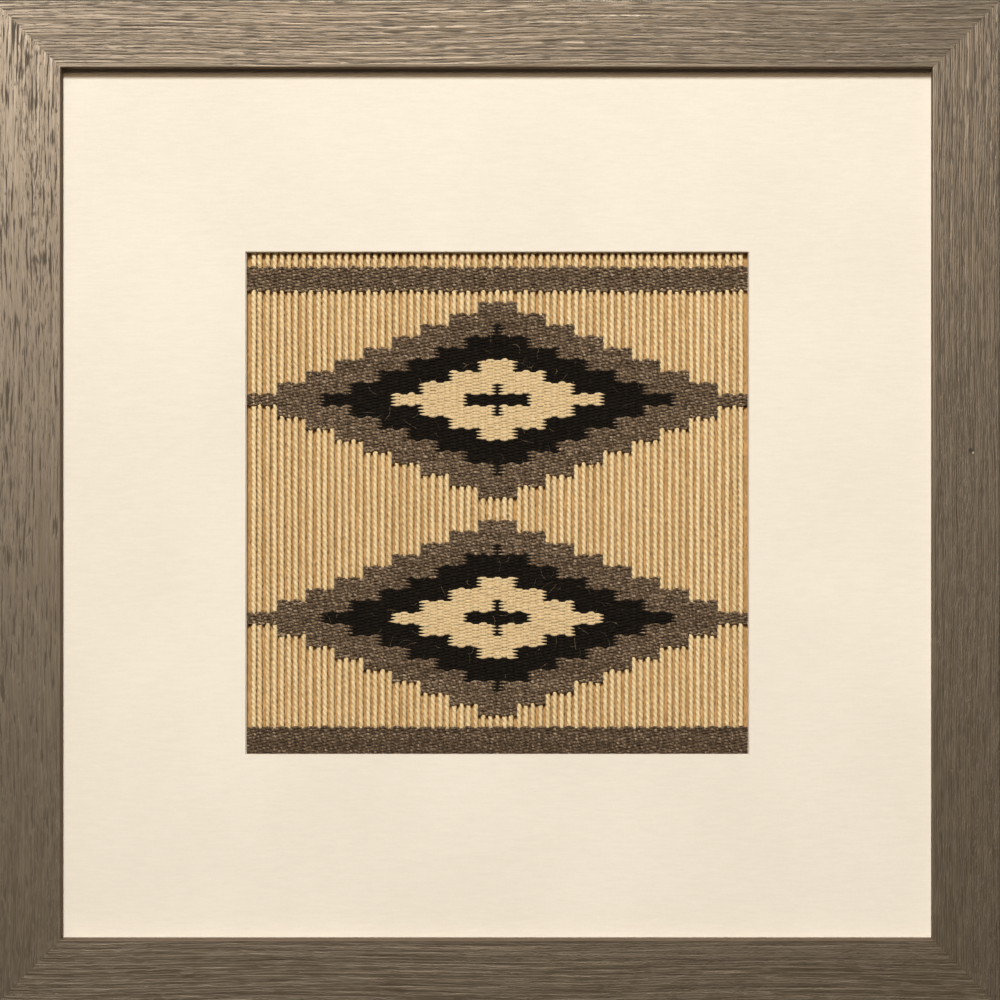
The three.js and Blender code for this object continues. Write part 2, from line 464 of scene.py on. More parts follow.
# %% Rail pieces
RAIL_STEPS = 300
GROOVE_DEPTH = 0.05 * MM
MITRE_SETBACK = 0.02 * MM
CREASE = math.radians(40)
GRAIN_WANDER = 0.7 * MM
WANDER_LENGTH = 31 * MM
GRAIN_START = 60 * MM
# For each rail, in quarter turns from the top: painted shade of the fold and its reach over the face,
# spacing and strength of lines, size and strength of pores, gloss, dullness and depth of what is pressed
RAILS = {
    "rail_top": dict(
        fold_shade_amount=1.0, fold_shade_reach=0, spacing=1.20 * MM, line=0.75,
        pore_length=9 * MM, pore_width=0.9 * MM, pore=0.45, gloss=0.73, dull=0.53, depth=0.6),
    "rail_right": dict(
        fold_shade_amount=1.0, fold_shade_reach=0, spacing=0.95 * MM, line=1.0,
        pore_length=11 * MM, pore_width=0.8 * MM, pore=1.0, gloss=1.02, dull=0.43, depth=0.6),
    "rail_bottom": dict(
        fold_shade_amount=0.7, fold_shade_reach=0.6 * MM, spacing=1.05 * MM, line=0.50,
        pore_length=8 * MM, pore_width=0.8 * MM, pore=0.38, gloss=0.90, dull=0.53, depth=0.6),
    "rail_left": dict(
        fold_shade_amount=1.0, fold_shade_reach=0, spacing=1.30 * MM, line=0.30,
        pore_length=13 * MM, pore_width=0.85 * MM, pore=1.0, gloss=0.95, dull=0.49, depth=0.35),
}


def quarter_turned(points, turns):
    """Turns points about the picture's centre, clockwise as seen from the front."""
    cosine, sine = [(1, 0), (0, 1), (-1, 0), (0, -1)][turns]
    x, y, z = points[..., 0], points[..., 1], points[..., 2] - CENTRE_Z
    return np.stack([x * cosine + z * sine, y, z * cosine - x * sine + CENTRE_Z], axis=-1)


def grid_faces(rows, columns):
    """Quads of a grid whose columns close on themselves, with a flat cap on the first and last row."""
    first = np.arange(rows - 1)[:, None] * columns
    here = np.arange(columns)
    beside = (here + 1) % columns
    quads = [first + here, first + beside, first + columns + beside, first + columns + here]
    last = (rows - 1) * columns
    caps = np.stack([here[::-1], here + last])
    return [np.stack(quads, axis=-1).reshape(-1, 4), caps]


def rail_piece(node, turns, fold_shade_amount, fold_shade_reach, **look):
    """The section swept along w, which runs from mitre to mitre: w = u + s (length - 2 u)."""
    random = np.random.default_rng(20 + turns)
    grain = pressed_grain(random)
    u, v = section[:, 0], section[:, 1]
    cut = u + MITRE_SETBACK
    share = np.linspace(0, 1, RAIL_STEPS)[:, None]
    along = cut + share * (OUTER - 2 * cut)
    wander = GRAIN_WANDER * np.sin(along / WANDER_LENGTH + turns)
    height = read_field(grain, along, girth + wander + GRAIN_START)
    push = height * relief_weight * GROOVE_DEPTH
    u_out = u + push * section_normal[:, 0]
    v_out = v + push * section_normal[:, 1]
    top = np.stack([along - OUTER / 2, WALL - v_out, cad_high[2] - u_out], axis=-1)
    points = quarter_turned(top, turns).reshape(-1, 3)
    place = np.stack([along + turns, np.broadcast_to(girth + wander, along.shape), 0 * along], axis=-1)
    # The fold's painted shade, one strength per rail by how the lamp falls on it, reaching onto the
    # round of the bottom rail
    fold_shade_weight = fold_shade_amount * (girth >= fold_girth - fold_shade_reach)
    values = {
        "grain": (height * relief_weight).ravel(),
        "rail_place": place.reshape(-1, 3),
        "open_grain": np.broadcast_to(relief_weight, along.shape).ravel(),
        "painted_fold_shade": np.broadcast_to(fold_shade_weight, along.shape).ravel(),
    }
    faces = grid_faces(RAIL_STEPS, len(section))
    name = node.split("_")[1] + "_rail"
    foil = foil_finish(name + "_foil", **look)
    piece = add_piece(name, points, faces, foil, values, crease=CREASE)
    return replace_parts(piece, node)


for turns, node in enumerate(RAILS):
    rail_piece(node, turns, **RAILS[node])

# %% [markdown]
# ## Window mat and board
#
# The mat is cream card, flat, with a window whose edge is cut on a slant. The solid already has
# that shape, so it stays and only gets a finish: a fine tooth, a faint cloudiness, and a slightly
# paler core where the slanted cut shows it. The board behind the weaving is tan card of coarse pulp,
# with soft stains that keep the strips between the cords from looking printed.

# %% Card finishes
WINDOW_HALF = 100 * MM
WINDOW_BEVEL = 0.5 * MM
MAT_COLOURS = [(0.38, (0.80, 0.760, 0.680)), (0.62, (0.86, 0.822, 0.742))]
MAT_CORE = (0.88, 0.81, 0.72)
BOARD_COLOURS = [
    (0.36, (0.20, 0.105, 0.036)),
    (0.47, (0.47, 0.275, 0.108)),
    (0.55, (0.56, 0.335, 0.138)),
    (0.72, (0.66, 0.430, 0.195)),
]
BOARD_STAIN = (0.38, 0.232, 0.082)


def own_place(finish):
    """A point's place in the object's own coordinates."""
    return finish.add("ShaderNodeTexCoord", output=3)


def inside_square(finish, place, half):
    """1 where a point of the picture lies inside a square about its centre, else 0."""
    middle = (0, 0, -CENTRE_Z)
    centred = finish.add("ShaderNodeVectorMath", {"operation": "ADD"}, {0: place, 1: middle})
    size = finish.add("ShaderNodeVectorMath", {"operation": "ABSOLUTE"}, {0: centred})
    return finish.part(size, 0).at_least(finish.part(size, 2)).below(half)


def mat_finish():
    """Cream card, cloudy and toothed, with a paler core inside the front edge of its window."""
    finish = Finish("cream_mat_card")
    place = own_place(finish)
    cloud = finish.noise(place, 14, detail=3)
    tooth = finish.noise(place, 1500, detail=3, roughness=0.6)
    flake = finish.noise(place, (150, 150, 1100))
    tint = cloud * 0.4 + tooth * 0.3 + flake * 0.3
    core = inside_square(finish, place, WINDOW_HALF + WINDOW_BEVEL * 0.97)
    colour = finish.mix(core, finish.ramp(tint, MAT_COLOURS), MAT_CORE)
    relief = finish.bump(tooth + flake * 0.5, 0.05 * MM, 0.5)
    return finish.done(Base_Color=colour, Roughness=0.85, Specular_IOR_Level=0.3, Normal=relief)


def board_finish():
    """Tan card of coarse pulp, stained where a slower noise passes a limit."""
    finish = Finish("tan_board")
    place = own_place(finish)
    pulp = finish.noise(place, (1500, 1500, 650), detail=4, roughness=0.65)
    cloud = finish.noise(place, 30)
    stain = finish.noise(place, (280, 280, 130))
    tint = pulp * 0.8 + cloud * 0.1 + 0.05
    stained = stain.passing(0.44, 4, most=0.6)
    colour = finish.mix(stained, finish.ramp(tint, BOARD_COLOURS), BOARD_STAIN)
    relief = finish.bump(pulp, 0.08 * MM, 0.6)
    return finish.done(Base_Color=colour, Roughness=0.9, Specular_IOR_Level=0.25, Normal=relief)


for node, finish in (("window_mat", mat_finish()), ("mount_board", board_finish())):
    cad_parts[node].material_slots[0].material = finish
    print(node, "wears", finish.name)

# %% [markdown]
# ## The chart of the weaving
#
# A weaver works from a chart: for each pick and each warp it says which yarn covers the crossing,
# or that the warp stays bare. This chart is a plain traditional one, two stepped lozenges of nested
# rings between two bands. It is worked out from how many warps a crossing lies inside the stepped
# edge, so no drawing is needed.

# %% Chart
WARPS = 69
HALF_WARPS = WARPS // 2
CORD = 1.8 * MM
PITCH = (cloth_high[0] - cloth_low[0] - CORD) / (WARPS - 1)
PICK = 0.657 * MM
TOP_BARE = 5.5 * MM
TOP_BAND = 9.5 * MM
BOTTOM_BAND = 10.6 * MM
STEP_WARPS = 4
STEP_PICKS = 7
STEP_RISE = 4.6 * MM
RING_WARPS = 10
BARE, GREY, BLACK, CREAM = -1, 0, 1, 2
RINGS = np.array([GREY, BLACK, CREAM, BLACK])

warps = np.arange(WARPS) - HALF_WARPS
levels = math.ceil(WARPS / 2 / STEP_WARPS)
band_top = CENTRE_Z + WINDOW_HALF - TOP_BARE
field_top = band_top - TOP_BAND
field_bottom = CENTRE_Z - WINDOW_HALF + BOTTOM_BAND
bay = (field_top - field_bottom) / 2
lozenge_z = field_bottom + bay * np.array([0.5, 1.5])


def band_chart(low, high):
    """Pick heights of a plain band, and its one colour at every crossing."""
    count = round((high - low) / PICK)
    heights = low + (np.arange(count) + 0.5) * (high - low) / count
    return heights, np.full((count, WARPS), GREY)


def lozenge_chart(centre):
    """Pick heights of a lozenge, and a colour for each ring of warps inside its stepped edge."""
    pick = np.arange((2 * levels - 1) * STEP_PICKS)
    heights = centre + ((pick + 0.5) / STEP_PICKS - levels + 0.5) * STEP_RISE
    level = np.abs(pick // STEP_PICKS - levels + 1)
    inside = HALF_WARPS - STEP_WARPS * level[:, None] - np.abs(warps)
    ring = np.clip(inside // RING_WARPS, 0, len(RINGS) - 1)
    return heights, np.where(inside < 0, BARE, RINGS[ring])


charts = [
    band_chart(cloth_low[2], field_bottom),
    lozenge_chart(lozenge_z[0]),
    lozenge_chart(lozenge_z[1]),
    band_chart(field_top, band_top),
]
pick_z = np.concatenate([heights for heights, _ in charts])
chart = np.concatenate([colours for _, colours in charts])
print(f"{len(pick_z)} picks on {WARPS} warps, {np.mean(chart == BARE):.0%} of their crossings bare")

# %% [markdown]
# ## Yarn as tubes
#
# Every yarn here is a tube: a ring of points carried along a path. All the rings of a piece are
# computed together. An array says which run each ring belongs to, faces join neighbouring rings of
# one run, and each run gets a cap at both ends. Each point also keeps its place along and around
# the yarn, so that fibres in the material follow it.

# %% Tube helpers
def ring_runs(counts):
    """For runs of these many rings: each ring's run, and its number within the run."""
    run = np.repeat(np.arange(len(counts)), counts)
    return run, np.arange(len(run)) - np.repeat(np.cumsum(counts) - counts, counts)


def tube_faces(run, sides):
    """Quads between neighbouring rings of one run, and a flat cap at each end of it."""
    ring = np.arange(len(run))[:, None] * sides
    here = np.arange(sides)
    beside = (here + 1) % sides
    change = run[1:] != run[:-1]
    joined = np.flatnonzero(~change)
    low, high = ring[joined], ring[joined + 1]
    quads = np.stack([low + here, low + beside, high + beside, high + here], axis=-1)
    first = np.flatnonzero(np.concatenate([[True], change]))
    last = np.flatnonzero(np.concatenate([change, [True]]))
    return [quads.reshape(-1, 4), ring[first] + here[::-1], ring[last] + here]


def ring_angles(sides):
    """Angles of this many points spread evenly round a ring."""
    return 2 * np.pi * np.arange(sides) / sides


def waver(place, size, lengths, phase):
    """A smooth irregular wave: sines of these wavelengths, added with golden-angle phases."""
    angles = [2 * np.pi * place / length + phase + 2.4 * k for k, length in enumerate(lengths)]
    return size * sum(np.sin(angle) for angle in angles) / len(lengths)

# %% [markdown]
# ## Bare warps
#
# The warp is a hard two-ply cord. Two plies twisted together have a round outline with two grooves
# that wind round it, so the section is a circle with a deep dent on either side, and it turns as
# it goes up: r = R (1 - groove |sin a|^4), where a is the angle from a ply's crest. The cords are
# modelled where they lie bare, and a little way into the woven edges, where the weft squeezes them
# to a point. Each one stands a hair off its place, as on a real loom.

# %% Warp finish
WARP_COLOURS = [
    (0.20, (0.51, 0.335, 0.145)),
    (0.50, (0.75, 0.570, 0.300)),
    (0.75, (0.85, 0.700, 0.425)),
]
GROOVE_SHADE_FADE = 2200


def warp_finish():
    """Cream fibres along the cord, with painted shade in its grooves, where a point lies near the plies'
    joint.
    """
    finish = Finish("plied_warp_cord")
    yarn = finish.attribute("yarn", 1)
    tone = finish.attribute("tone", 2)
    fibre = finish.noise(yarn, (420, 2600, 2600), detail=3, roughness=0.6)
    slub = finish.noise(yarn, (90, 300, 300))
    # Painted shade in the grooves between the plies
    groove = (1 - finish.part(yarn, 2).size() * GROOVE_SHADE_FADE).at_least(0)
    tint = fibre * 0.9 + slub * 0.4 + tone * 0.20 - groove * 0.27 - 0.17
    colour = finish.ramp(tint, WARP_COLOURS)
    relief = finish.bump(fibre, 0.10 * MM, 0.7)
    return finish.done(
        Base_Color=colour, Roughness=0.75, Specular_IOR_Level=0.35, Sheen_Weight=0.15, Normal=relief)


# %% Warp cords
CORD_TURN = 4.8 * MM
CORD_SWELL = 1.20
CORD_GROOVE = 0.30
RINGS_A_TURN = 6.6
CORD_RING = np.radians([0, 50, 90, 130, 180, 230, 270, 310])
INTO_CLOTH = 1.6 * MM
SQUEEZED = 2.6 * MM
SQUEEZE = 0.55
LOOM_ERROR = 0.10 * MM
# Sizes and wavelengths of the slow waver of place, twist and thickness along a cord
LOOM_WAVES = (70 * MM, 31 * MM)
TWIST_WAVER = 0.5
TWIST_WAVES = (50 * MM, 23 * MM)
THICK_WAVER = 0.06
THICK_WAVES = (43 * MM, 19 * MM)
MID_Y = (cloth_low[1] + cloth_high[1]) / 2
warp_shift = np.random.default_rng(3).normal(0, LOOM_ERROR, WARPS)


def warp_index(place):
    """The number, from the left, of the warp nearest to a place counted from the middle warp."""
    return np.clip(np.round(place).astype(int) + HALF_WARPS, 0, WARPS - 1)


def warp_x(warp, z):
    """Where a warp stands: its place on the loom, a small lasting shift, and a slow waver going up."""
    shift = warp_shift[warp_index(warp)]
    return warp * PITCH + shift + waver(z, LOOM_ERROR, LOOM_WAVES, warp * 1.7)


def bare_runs():
    """Lower and upper ends of the four bare stretches of each warp."""
    reach = (np.maximum(HALF_WARPS - np.abs(warps), 0) // STEP_WARPS + 0.5) * STEP_RISE
    flat = np.zeros(WARPS)
    low = [flat + field_bottom, lozenge_z[0] + reach, lozenge_z[1] + reach, flat + band_top]
    high = [lozenge_z[0] - reach, lozenge_z[1] - reach, flat + field_top, flat + cloth_high[2]]
    low = np.stack(low, axis=-1) - INTO_CLOTH
    high = np.stack(high, axis=-1) + np.array([INTO_CLOTH, INTO_CLOTH, INTO_CLOTH, 0])
    return np.repeat(warps, 4), low.ravel(), high.ravel()


def warp_piece():
    """Rings of the two-ply section, turned with the height, thinner towards the woven edges."""
    random = np.random.default_rng(4)
    warp, low, high = bare_runs()
    counts = np.ceil((high - low) / (CORD_TURN / RINGS_A_TURN)).astype(int) + 1
    run, number = ring_runs(counts)
    z = low[run] + (high - low)[run] * number / (counts[run] - 1)
    index = warp_index(warp[run])
    phase = random.uniform(0, 2 * np.pi, WARPS)[index]
    spin = phase - 2 * np.pi * z / CORD_TURN + waver(z, TWIST_WAVER, TWIST_WAVES, phase)
    thick = CORD / 2 * CORD_SWELL * (1 + waver(z, THICK_WAVER, THICK_WAVES, phase * 3))
    inner_end = np.minimum(z - low[run], np.where(run % 4 == 3, CORD_TURN, high[run] - z))
    thick *= 1 - SQUEEZE * np.clip(1 - inner_end / SQUEEZED, 0, 1) ** 1.5
    radius = thick[:, None] * (1 - CORD_GROOVE * np.abs(np.sin(CORD_RING)) ** 4)
    angle = spin[:, None] + CORD_RING
    x = warp_x(warp[run], z)[:, None] + radius * np.sin(angle)
    y = MID_Y - radius * np.cos(angle)
    points = np.stack([x, y, np.broadcast_to(z[:, None], x.shape)], axis=-1).reshape(-1, 3)
    along = (z + warp[run] * 0.37)[:, None] + 0 * radius
    yarn = np.stack([along, radius * np.sin(CORD_RING), radius * np.cos(CORD_RING)], axis=-1)
    tone = random.uniform(0, 1, WARPS)[index]
    values = {"yarn": yarn.reshape(-1, 3), "tone": np.repeat(tone, len(CORD_RING))}
    faces = tube_faces(run, len(CORD_RING))
    return add_piece("warp_cords", points, faces, warp_finish(), values)


warp_cords = warp_piece()

# %% [markdown]
# ## Packed weft
#
# The weft is soft wool, beaten down until it hides the warps. Each pick goes over one warp and
# under the next, and the next pick does the opposite. Where it passes over a warp it swells into a
# bead two picks tall, and where it dives between two warps its neighbours squeeze it to one pick.
# So the depth of the path is a flattened cosine of the place across the warps, and the tube's
# height and depth change along it while its section area stays the same. Where two colours meet,
# each yarn ends in a thin finger between two beads of its neighbour, so the join looks like a comb.

# %% Weft finish
def weft_finish(name, stops, gloss, sheen):
    """Flecks of light and dark fibre along the yarn, with one side of its ply lighter."""
    finish = Finish(name)
    yarn = finish.attribute("yarn", 1)
    tone = finish.attribute("tone", 2)
    fleck = finish.noise(yarn, (850, 1500, 1500), roughness=0.6)
    fibre = finish.noise(yarn, (900, 9000, 9000))
    blend = finish.noise(yarn, (120, 300, 300), detail=1)
    tint = fleck * 1.7 + fibre * 0.3 + blend * 0.4 + finish.part(yarn, 1) * 240 + tone * 0.15 - 0.775
    colour = finish.ramp(tint, stops)
    relief = finish.bump(fleck * 0.5 + fibre, 0.12 * MM, 0.8)
    return finish.done(
        Base_Color=colour, Roughness=0.9, Specular_IOR_Level=gloss, Sheen_Weight=sheen, Normal=relief)


weft_finishes = {
    GREY: weft_finish("marled_grey_wool", [
        (0.18, (0.037, 0.020, 0.008)),
        (0.45, (0.111, 0.070, 0.036)),
        (0.65, (0.240, 0.167, 0.104)),
        (0.90, (0.475, 0.372, 0.268)),
    ], 0.2, 0.15),
    BLACK: weft_finish("black_wool", [
        (0.25, (0.005, 0.0035, 0.0025)),
        (0.80, (0.015, 0.011, 0.007)),
    ], 0.08, 0.0),
    CREAM: weft_finish("cream_wool", [
        (0.15, (0.640, 0.472, 0.255)),
        (0.50, (0.712, 0.550, 0.315)),
        (0.85, (0.755, 0.610, 0.375)),
    ], 0.2, 0.15),
}

# %% Weft runs
def colour_runs(colour):
    """Every stretch of one colour: its pick, its first and last warp, and the colours beside it."""
    padded = np.pad(chart, ((0, 0), (1, 1)), constant_values=BARE)
    edge = np.diff((padded == colour).astype(int), axis=1)
    pick, first = np.nonzero(edge == 1)
    _, past = np.nonzero(edge == -1)
    return pick, warps[first], warps[past - 1], padded[pick, first], padded[pick, past + 1]


FINGER = 0.50
FINGER_SPREAD = (0.6, 1.4)
TURN_ROUND = 0.15
SELVEDGE = 0.65


def run_end(random, pick, warp, beside):
    """How far a run reaches past its last gap, in warps, and whether it ends in a finger."""
    finger = (beside != BARE) & ((pick + warp) % 2 == 0)
    selvedge = np.abs(warp) == HALF_WARPS
    reach = FINGER * random.uniform(*FINGER_SPREAD, len(pick))
    return np.where(selvedge, SELVEDGE, np.where(finger, reach, TURN_ROUND)), finger

# %% Weft paths
WEFT_SIDES = 6
WEFT_LIFT = 0.93 * MM
WEFT_AREA = 0.30 * MM**2
WEFT_FILL = {GREY: 0.98, BLACK: 1.12, CREAM: 1.34}
BEAD_SPREAD = 0.09
PICK_WAVER = 0.22 * MM
PICK_WAVES = (71 * MM, 33 * MM)
PICK_JITTER = 0.05 * MM
EDGE_PUFF = 0.35 * PICK
FINGER_LIFT = 0.88 * WEFT_LIFT
TIP_LIFT = 0.70 * WEFT_LIFT
TIP_TALL = 0.14 * PICK
TIP_DEEP = 0.12 * MM


def weft_rings(pick, first, last, reach_left, reach_right):
    """Rings four to a warp where the yarn shows and two where it lies behind, with one more at each
    end: every ring's run, its place across the warps, and -1 or 1 at the two ends of a run."""
    counts = 4 * (last - first + 1) + 3
    run, number = ring_runs(counts)
    inner = np.clip(number - 1, 0, counts[run] - 3)
    end = (number == counts[run] - 1).astype(int) - (number == 0)
    place = first[run] - 0.5 + inner / 4 + end * np.where(end < 0, reach_left[run], reach_right[run])
    over = (np.floor(place + 0.5).astype(int) + pick[run]) % 2 == 0
    keep = over | (inner % 2 == 0) | (end != 0)
    near = np.where(inner == 0, -1, np.where(inner == counts[run] - 3, 1, 0))
    return run[keep], place[keep], end[keep], near[keep]


def weft_path(random, colour, pick, place, finger, tip):
    """Centres of the rings, how steeply the path climbs there, and the rings' half height and depth.

    With c the cosine of half a turn to a warp, the lift off the cloth's middle is 1.25 c - 0.25 c^3,
    and the height grows with |c| from one pick to two. The depth keeps the area. Fingers lie flat."""
    nearest = warp_index(place)
    size = random.normal(1, BEAD_SPREAD, chart.shape)[pick, nearest]
    limit = WARPS / 2 + TURN_ROUND
    turn = np.pi * (np.clip(place, -limit, limit) + pick)
    wave, slope = np.cos(turn), -np.pi * np.sin(turn)
    lift = WEFT_LIFT * size * (1.25 * wave - 0.25 * wave**3)
    climb = WEFT_LIFT * size * (1.25 - 0.75 * wave**2) * slope
    lift = np.where(finger, np.where(tip, TIP_LIFT, FINGER_LIFT), lift)
    climb = np.where(finger, 0, climb)
    tall = PICK / 2 * (1 + np.abs(wave)) * WEFT_FILL[colour] * size
    tall = np.where(tip, TIP_TALL, tall)
    deep = np.where(tip, TIP_DEEP, WEFT_AREA / tall)
    bare = np.pad(chart, ((1, 1), (0, 0)), constant_values=BARE) == BARE
    puff = (bare[2:].astype(int) - bare[:-2])[pick, nearest] * np.maximum(wave, 0) * EDGE_PUFF
    jitter = random.normal(0, PICK_JITTER, chart.shape)[pick, nearest] * np.maximum(wave, 0)
    z = pick_z[pick] + waver(place * PITCH, PICK_WAVER, PICK_WAVES, pick * 0.02) + puff + jitter
    return np.stack([warp_x(place, z), MID_Y - lift, z], axis=-1), climb, tall, deep


def weft_rims(centre, climb, tall, deep, angle):
    """Ellipses square to the path, tall along z and deep along the direction that points back."""
    length = np.hypot(PITCH, climb)
    back = np.stack([climb / length, PITCH / length, 0 * length], axis=-1)
    points = centre[:, None, :] + (deep[:, None] * np.sin(angle))[..., None] * back[:, None, :]
    points[..., 2] += tall[:, None] * np.cos(angle)
    return points.reshape(-1, 3)

# %% Weft pieces
FIBRE_TURN = 2.2 * MM
FIBRE_SHELL = 0.5 * MM
TAKE_UP = 1.3
FOOT_DARKER = 0.6


def weft_piece(name, colour, chosen):
    """Tubes of one colour in the picks that chosen names."""
    random = np.random.default_rng(50 + colour)
    runs = colour_runs(colour)
    kept = chosen[runs[0]]
    run_pick, first, last, beside_left, beside_right = [values[kept] for values in runs]
    reach_left, finger_left = run_end(random, run_pick, first, beside_left)
    reach_right, finger_right = run_end(random, run_pick, last, beside_right)
    run, place, end, near = weft_rings(run_pick, first, last, reach_left, reach_right)
    pick = run_pick[run]
    finger = ((near < 0) & finger_left[run]) | ((near > 0) & finger_right[run])
    path = weft_path(random, colour, pick, place, finger, finger & (end != 0))
    angle = ring_angles(WEFT_SIDES)
    points = weft_rims(*path, angle)
    along = place * PITCH * TAKE_UP + random.uniform(0, 1, len(first))[run]
    twist = angle + 2 * np.pi * along[:, None] / FIBRE_TURN
    around = FIBRE_SHELL * np.sin(twist), FIBRE_SHELL * np.cos(twist)
    yarn = np.stack(np.broadcast_arrays(along[:, None], *around), axis=-1)
    tone = (random.uniform(0, 1, len(pick_z)) - FOOT_DARKER * (pick_z < field_bottom))[pick]
    values = {"yarn": yarn.reshape(-1, 3), "tone": np.repeat(tone, WEFT_SIDES)}
    # These rings wind the other way round than the cords', so their faces are turned over
    faces = [group[:, ::-1] for group in tube_faces(run, WEFT_SIDES)]
    return add_piece(name, points, faces, weft_finishes[colour], values)


in_lozenge = (pick_z > field_bottom) & (pick_z < field_top)
wefts = [
    weft_piece("grey_bands", GREY, ~in_lozenge),
    weft_piece("grey_rings", GREY, in_lozenge),
    weft_piece("black_rings", BLACK, in_lozenge),
    weft_piece("cream_rings", CREAM, in_lozenge),
]

# %% [markdown]
# ## Stray fibres
#
# Wool is never quite tidy: single fibres work loose from the beaten weft and curl over its face. Each
# one is a very thin tube that starts inside a bead, turns steadily as it goes, and rises off the cloth
# and bends back to it. The beads they leave are picked at random among the covered crossings.

# %% Fibre finish
FIBRE_COLOURS = [(0.1, (0.10, 0.068, 0.04)), (0.9, (0.62, 0.49, 0.31))]


def fibre_finish():
    """Each fibre its own shade between brown and cream, a little uneven along it."""
    finish = Finish("loose_wool_fibre")
    tone = finish.attribute("tone", 2)
    patch = finish.noise(own_place(finish), 900, detail=1)
    colour = finish.ramp(tone * 0.8 + patch * 0.2, FIBRE_COLOURS)
    return finish.done(Base_Color=colour, Roughness=0.8, Specular_IOR_Level=0.3)

# %% Loose fibres
FIBRES = 300
FIBRE_RINGS = 10
FIBRE_SIDES = 4
FIBRE_RADIUS = 0.035 * MM
FIBRE_LENGTH = (2, 7)
FIBRE_CURL = 1.5
FIBRE_RISE = (0.1, 0.7)
FIBRE_START = 0.1 * MM
FIBRE_END = 0.3 * MM
FIBRE_TAPER = 0.6
FIBRE_MARGIN = 90 * MM


def fibre_piece():
    """Tubes along paths whose heading turns evenly, lifted by h sin(pi s) + e s at share s."""
    random = np.random.default_rng(90)
    front = (np.arange(len(pick_z))[:, None] + warps) % 2 == 0
    inner = (np.abs(pick_z - CENTRE_Z)[:, None] < FIBRE_MARGIN) & (np.abs(warps) * PITCH < FIBRE_MARGIN)
    pick, warp = np.nonzero((chart != BARE) & front & inner)
    chosen = random.choice(len(pick), FIBRES, replace=False)
    pick, warp = pick[chosen], warps[warp[chosen]]
    share = np.linspace(0, 1, FIBRE_RINGS)
    step = random.uniform(*FIBRE_LENGTH, (FIBRES, 1)) * MM / FIBRE_RINGS
    heading = random.uniform(0, 2 * np.pi, (FIBRES, 1))
    heading = heading + random.normal(0, FIBRE_CURL, (FIBRES, 1)) * share
    x = warp_x(warp, pick_z[pick])[:, None] + np.cumsum(step * np.cos(heading), axis=1)
    z = pick_z[pick][:, None] + np.cumsum(step * np.sin(heading), axis=1)
    rise = random.uniform(*FIBRE_RISE, (FIBRES, 1)) * MM * np.sin(np.pi * share) + FIBRE_END * share
    centre = np.stack([x, MID_Y - WEFT_LIFT - FIBRE_START - rise, z], axis=-1)[:, :, None, :]
    beside = np.stack([-np.sin(heading), 0 * heading, np.cos(heading)], axis=-1)[:, :, None, :]
    angle = ring_angles(FIBRE_SIDES)
    radius = (FIBRE_RADIUS * (1 - FIBRE_TAPER * share))[:, None, None]
    ring = np.cos(angle)[:, None] * beside + np.sin(angle)[:, None] * np.array([0, -1, 0])
    points = (centre + radius * ring).reshape(-1, 3)
    run = np.repeat(np.arange(FIBRES), FIBRE_RINGS)
    values = {"tone": np.repeat(random.uniform(0, 1, FIBRES), FIBRE_RINGS * FIBRE_SIDES)}
    faces = tube_faces(run, FIBRE_SIDES)
    return add_piece("loose_fibres", points, faces, fibre_finish(), values)


loose_fibres = fibre_piece()

# %% [markdown]
# ## The cloth as a sheet
#
# The yarns above are what shows. Inside them lies the body of the cloth, a thin flat sheet with the
# woven area's stepped outline, which takes the place of the solid's weaving. It stands for the weaving
# as one piece of cloth, so that its cut size can be stated and measured, and it stops light from
# leaking between the picks. It stands for the weaving as one piece of cloth, whose woven area the
# script works out, and it stops light from leaking between the picks.

# %% Cloth body
BODY_THICKNESS = 0.9 * MM
BODY_SHRINK = 0.997
BODY_COLOURS = np.array([(0.007, 0.005, 0.004), (0.110, 0.072, 0.040), (0.720, 0.560, 0.320)])
BODY_FIBRE = (0.03, 0.02, 0.012)
# Order from dark to light of grey, black, cream and bare
SHADE = np.array([1, 0, 2, 3])


def body_finish():
    """Each woven area's own colour, mottled by fibres."""
    finish = Finish("packed_wool")
    fibre = finish.noise(own_place(finish), 1500)
    colour = finish.mix(fibre * 0.6, finish.attribute("wool", 1), BODY_FIBRE)
    return finish.done(Base_Color=colour, Roughness=0.95, Specular_IOR_Level=0.1)


def woven_rows():
    """Row edges from the cloth's foot to its top band, and each row's colours, bare where uncovered."""
    steps = (np.arange(2 * levels) - levels + 0.5) * STEP_RISE
    edges = np.concatenate([
        [cloth_low[2], field_bottom], lozenge_z[0] + steps, lozenge_z[1] + steps, [field_top, band_top]])
    middle = (edges[1:] + edges[:-1]) / 2
    nearest = np.argmin(np.abs(pick_z[None, :] - middle[:, None]), axis=1)
    close = np.abs(pick_z[nearest] - middle) < STEP_RISE / 2
    return edges, np.where(close[:, None], chart[nearest], BARE)


def slab_faces(mask):
    """Front and back quads of the covered cells, and a wall wherever a cell has no neighbour."""
    rows, columns = mask.shape
    corner = np.arange((rows + 1) * (columns + 1)).reshape(rows + 1, columns + 1)
    row, column = np.nonzero(mask)
    a, b = corner[row, column], corner[row, column + 1]
    c, d = corner[row + 1, column + 1], corner[row + 1, column]
    front = np.stack([a, b, c, d], axis=-1)
    walls = [front, front[:, ::-1] + corner.size]
    padded = np.pad(mask, 1)
    for down, right, start, end in ((-1, 0, a, b), (0, 1, b, c), (1, 0, c, d), (0, -1, d, a)):
        bare = ~padded[row + 1 + down, column + 1 + right]
        start, end = start[bare], end[bare]
        walls.append(np.stack([end, start, start + corner.size, end + corner.size], axis=-1))
    return np.concatenate(walls)


